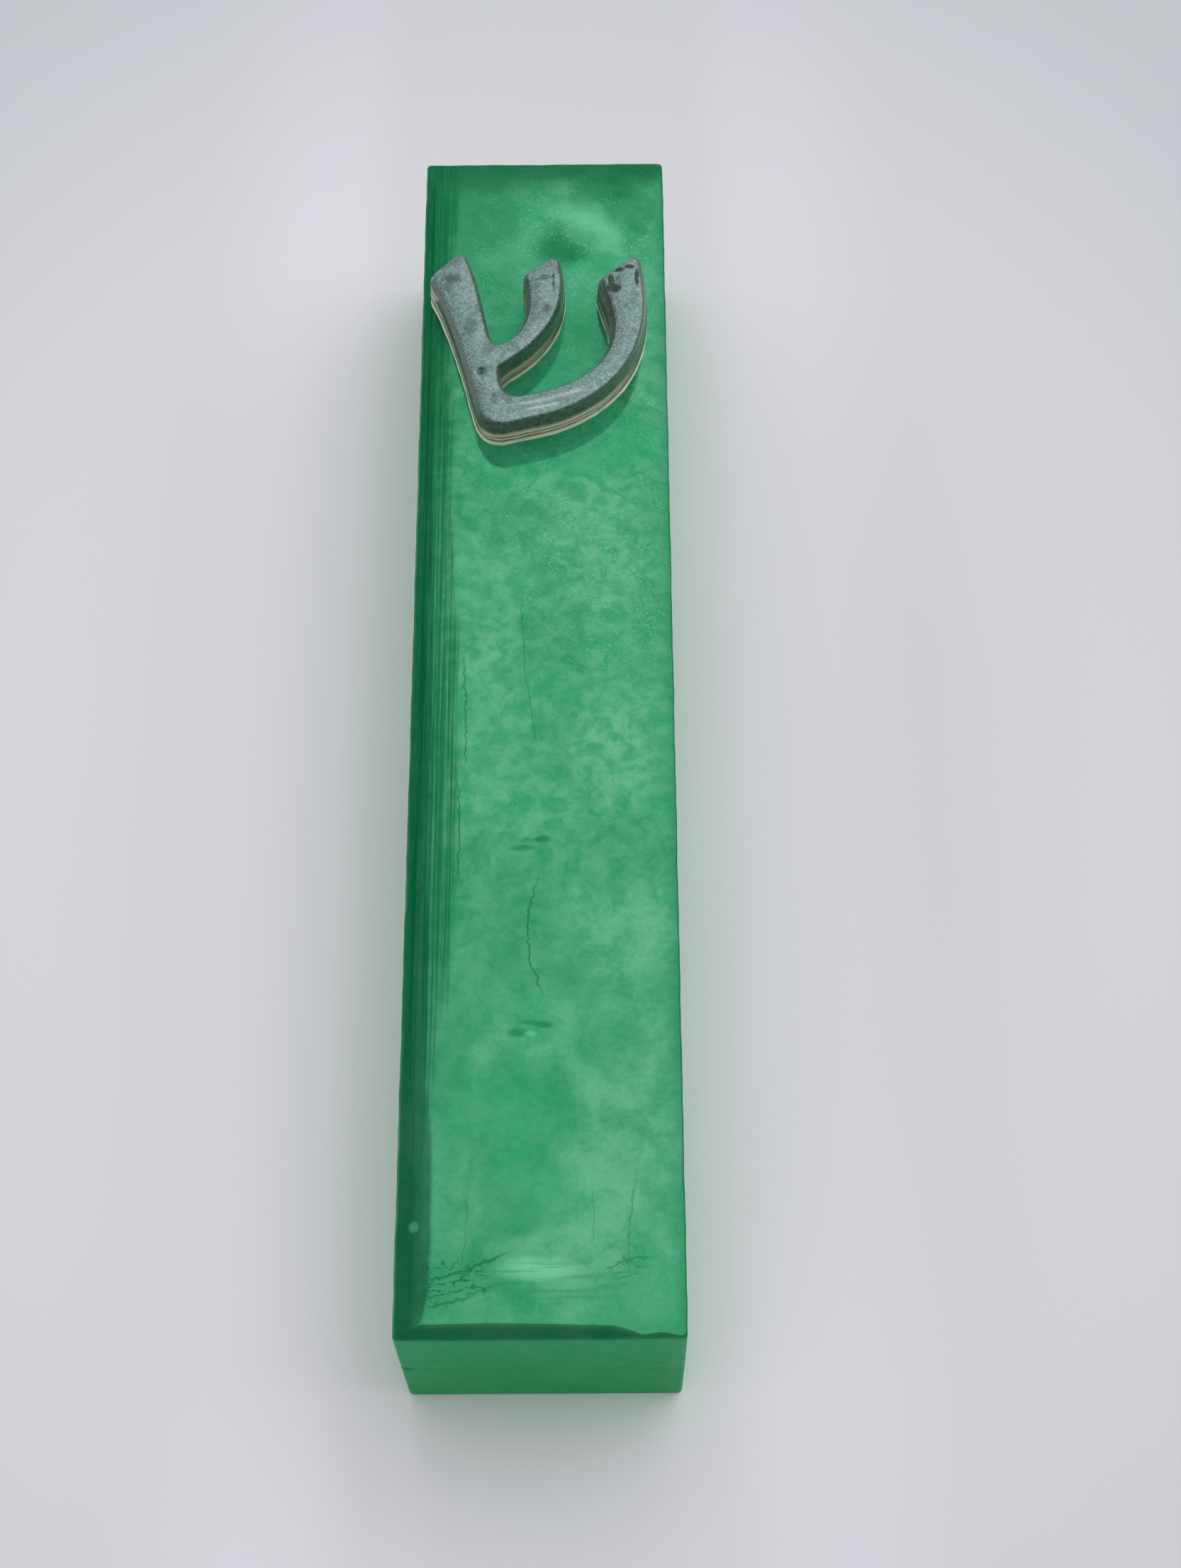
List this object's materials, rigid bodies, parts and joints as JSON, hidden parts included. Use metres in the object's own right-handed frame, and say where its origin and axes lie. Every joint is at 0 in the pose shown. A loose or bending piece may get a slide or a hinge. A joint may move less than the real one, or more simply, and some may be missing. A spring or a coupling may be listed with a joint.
{
  "type": "mezuzah case",
  "caption": "Slim cast resin mezuzah case with a raised shin on its front, a rolled parchment in a trough in its back, and a screw-on or stick-on back plate that it presses over.",
  "frame": {"origin": "centre of the back rim, in the plane that lies on the doorpost", "axes": "+Z out of the front face, +Y up the doorpost towards the letter's end, +X to the right as the letter is read"},
  "size_m": [0.024, 0.12, 0.025],
  "materials": {
    "pearl_resin": "glossy cast epoxy resin, emerald green with pearl mica clouds",
    "clear_resin": "glossy clear cast resin",
    "silver_resin": "glossy resin full of fine silver flake",
    "clear_glue": "glossy cured clear glue",
    "plate_resin": "green resin, sanded flat to a satin finish",
    "foam_tape": "matte closed-cell foam with adhesive faces",
    "liner_paper": "smooth waxed release paper",
    "parchment": "matte natural parchment, blank",
    "clear_film": "glossy thin clear film"
  },
  "bodies": {
    "back_plate": {"back_plate": "plate_resin", "foam_tape_upper": "foam_tape", "foam_tape_lower": "foam_tape", "tape_liner_upper": "liner_paper", "tape_liner_lower": "liner_paper"},
    "case": {"case_body": "pearl_resin", "shin_clear_layer": "clear_resin", "shin_silver_layer": "silver_resin", "shin_glue_bead": "clear_glue"},
    "scroll": {"scroll_parchment": "parchment", "scroll_film": "clear_film"}
  },
  "joints": [
    {"name": "case_pull_off", "type": "slide", "parent": "back_plate", "child": "case", "axis": [0, 0, 1], "range_m": [0, 0.045]},
    {"name": "scroll_lift_out", "type": "slide", "parent": "back_plate", "child": "scroll", "axis": [0, 0, 1], "range_m": [0, 0.0225]}
  ],
  "couplings": [
    {"joint": "scroll_lift_out", "follows": "case_pull_off", "ratio": 0.5}
  ]
}
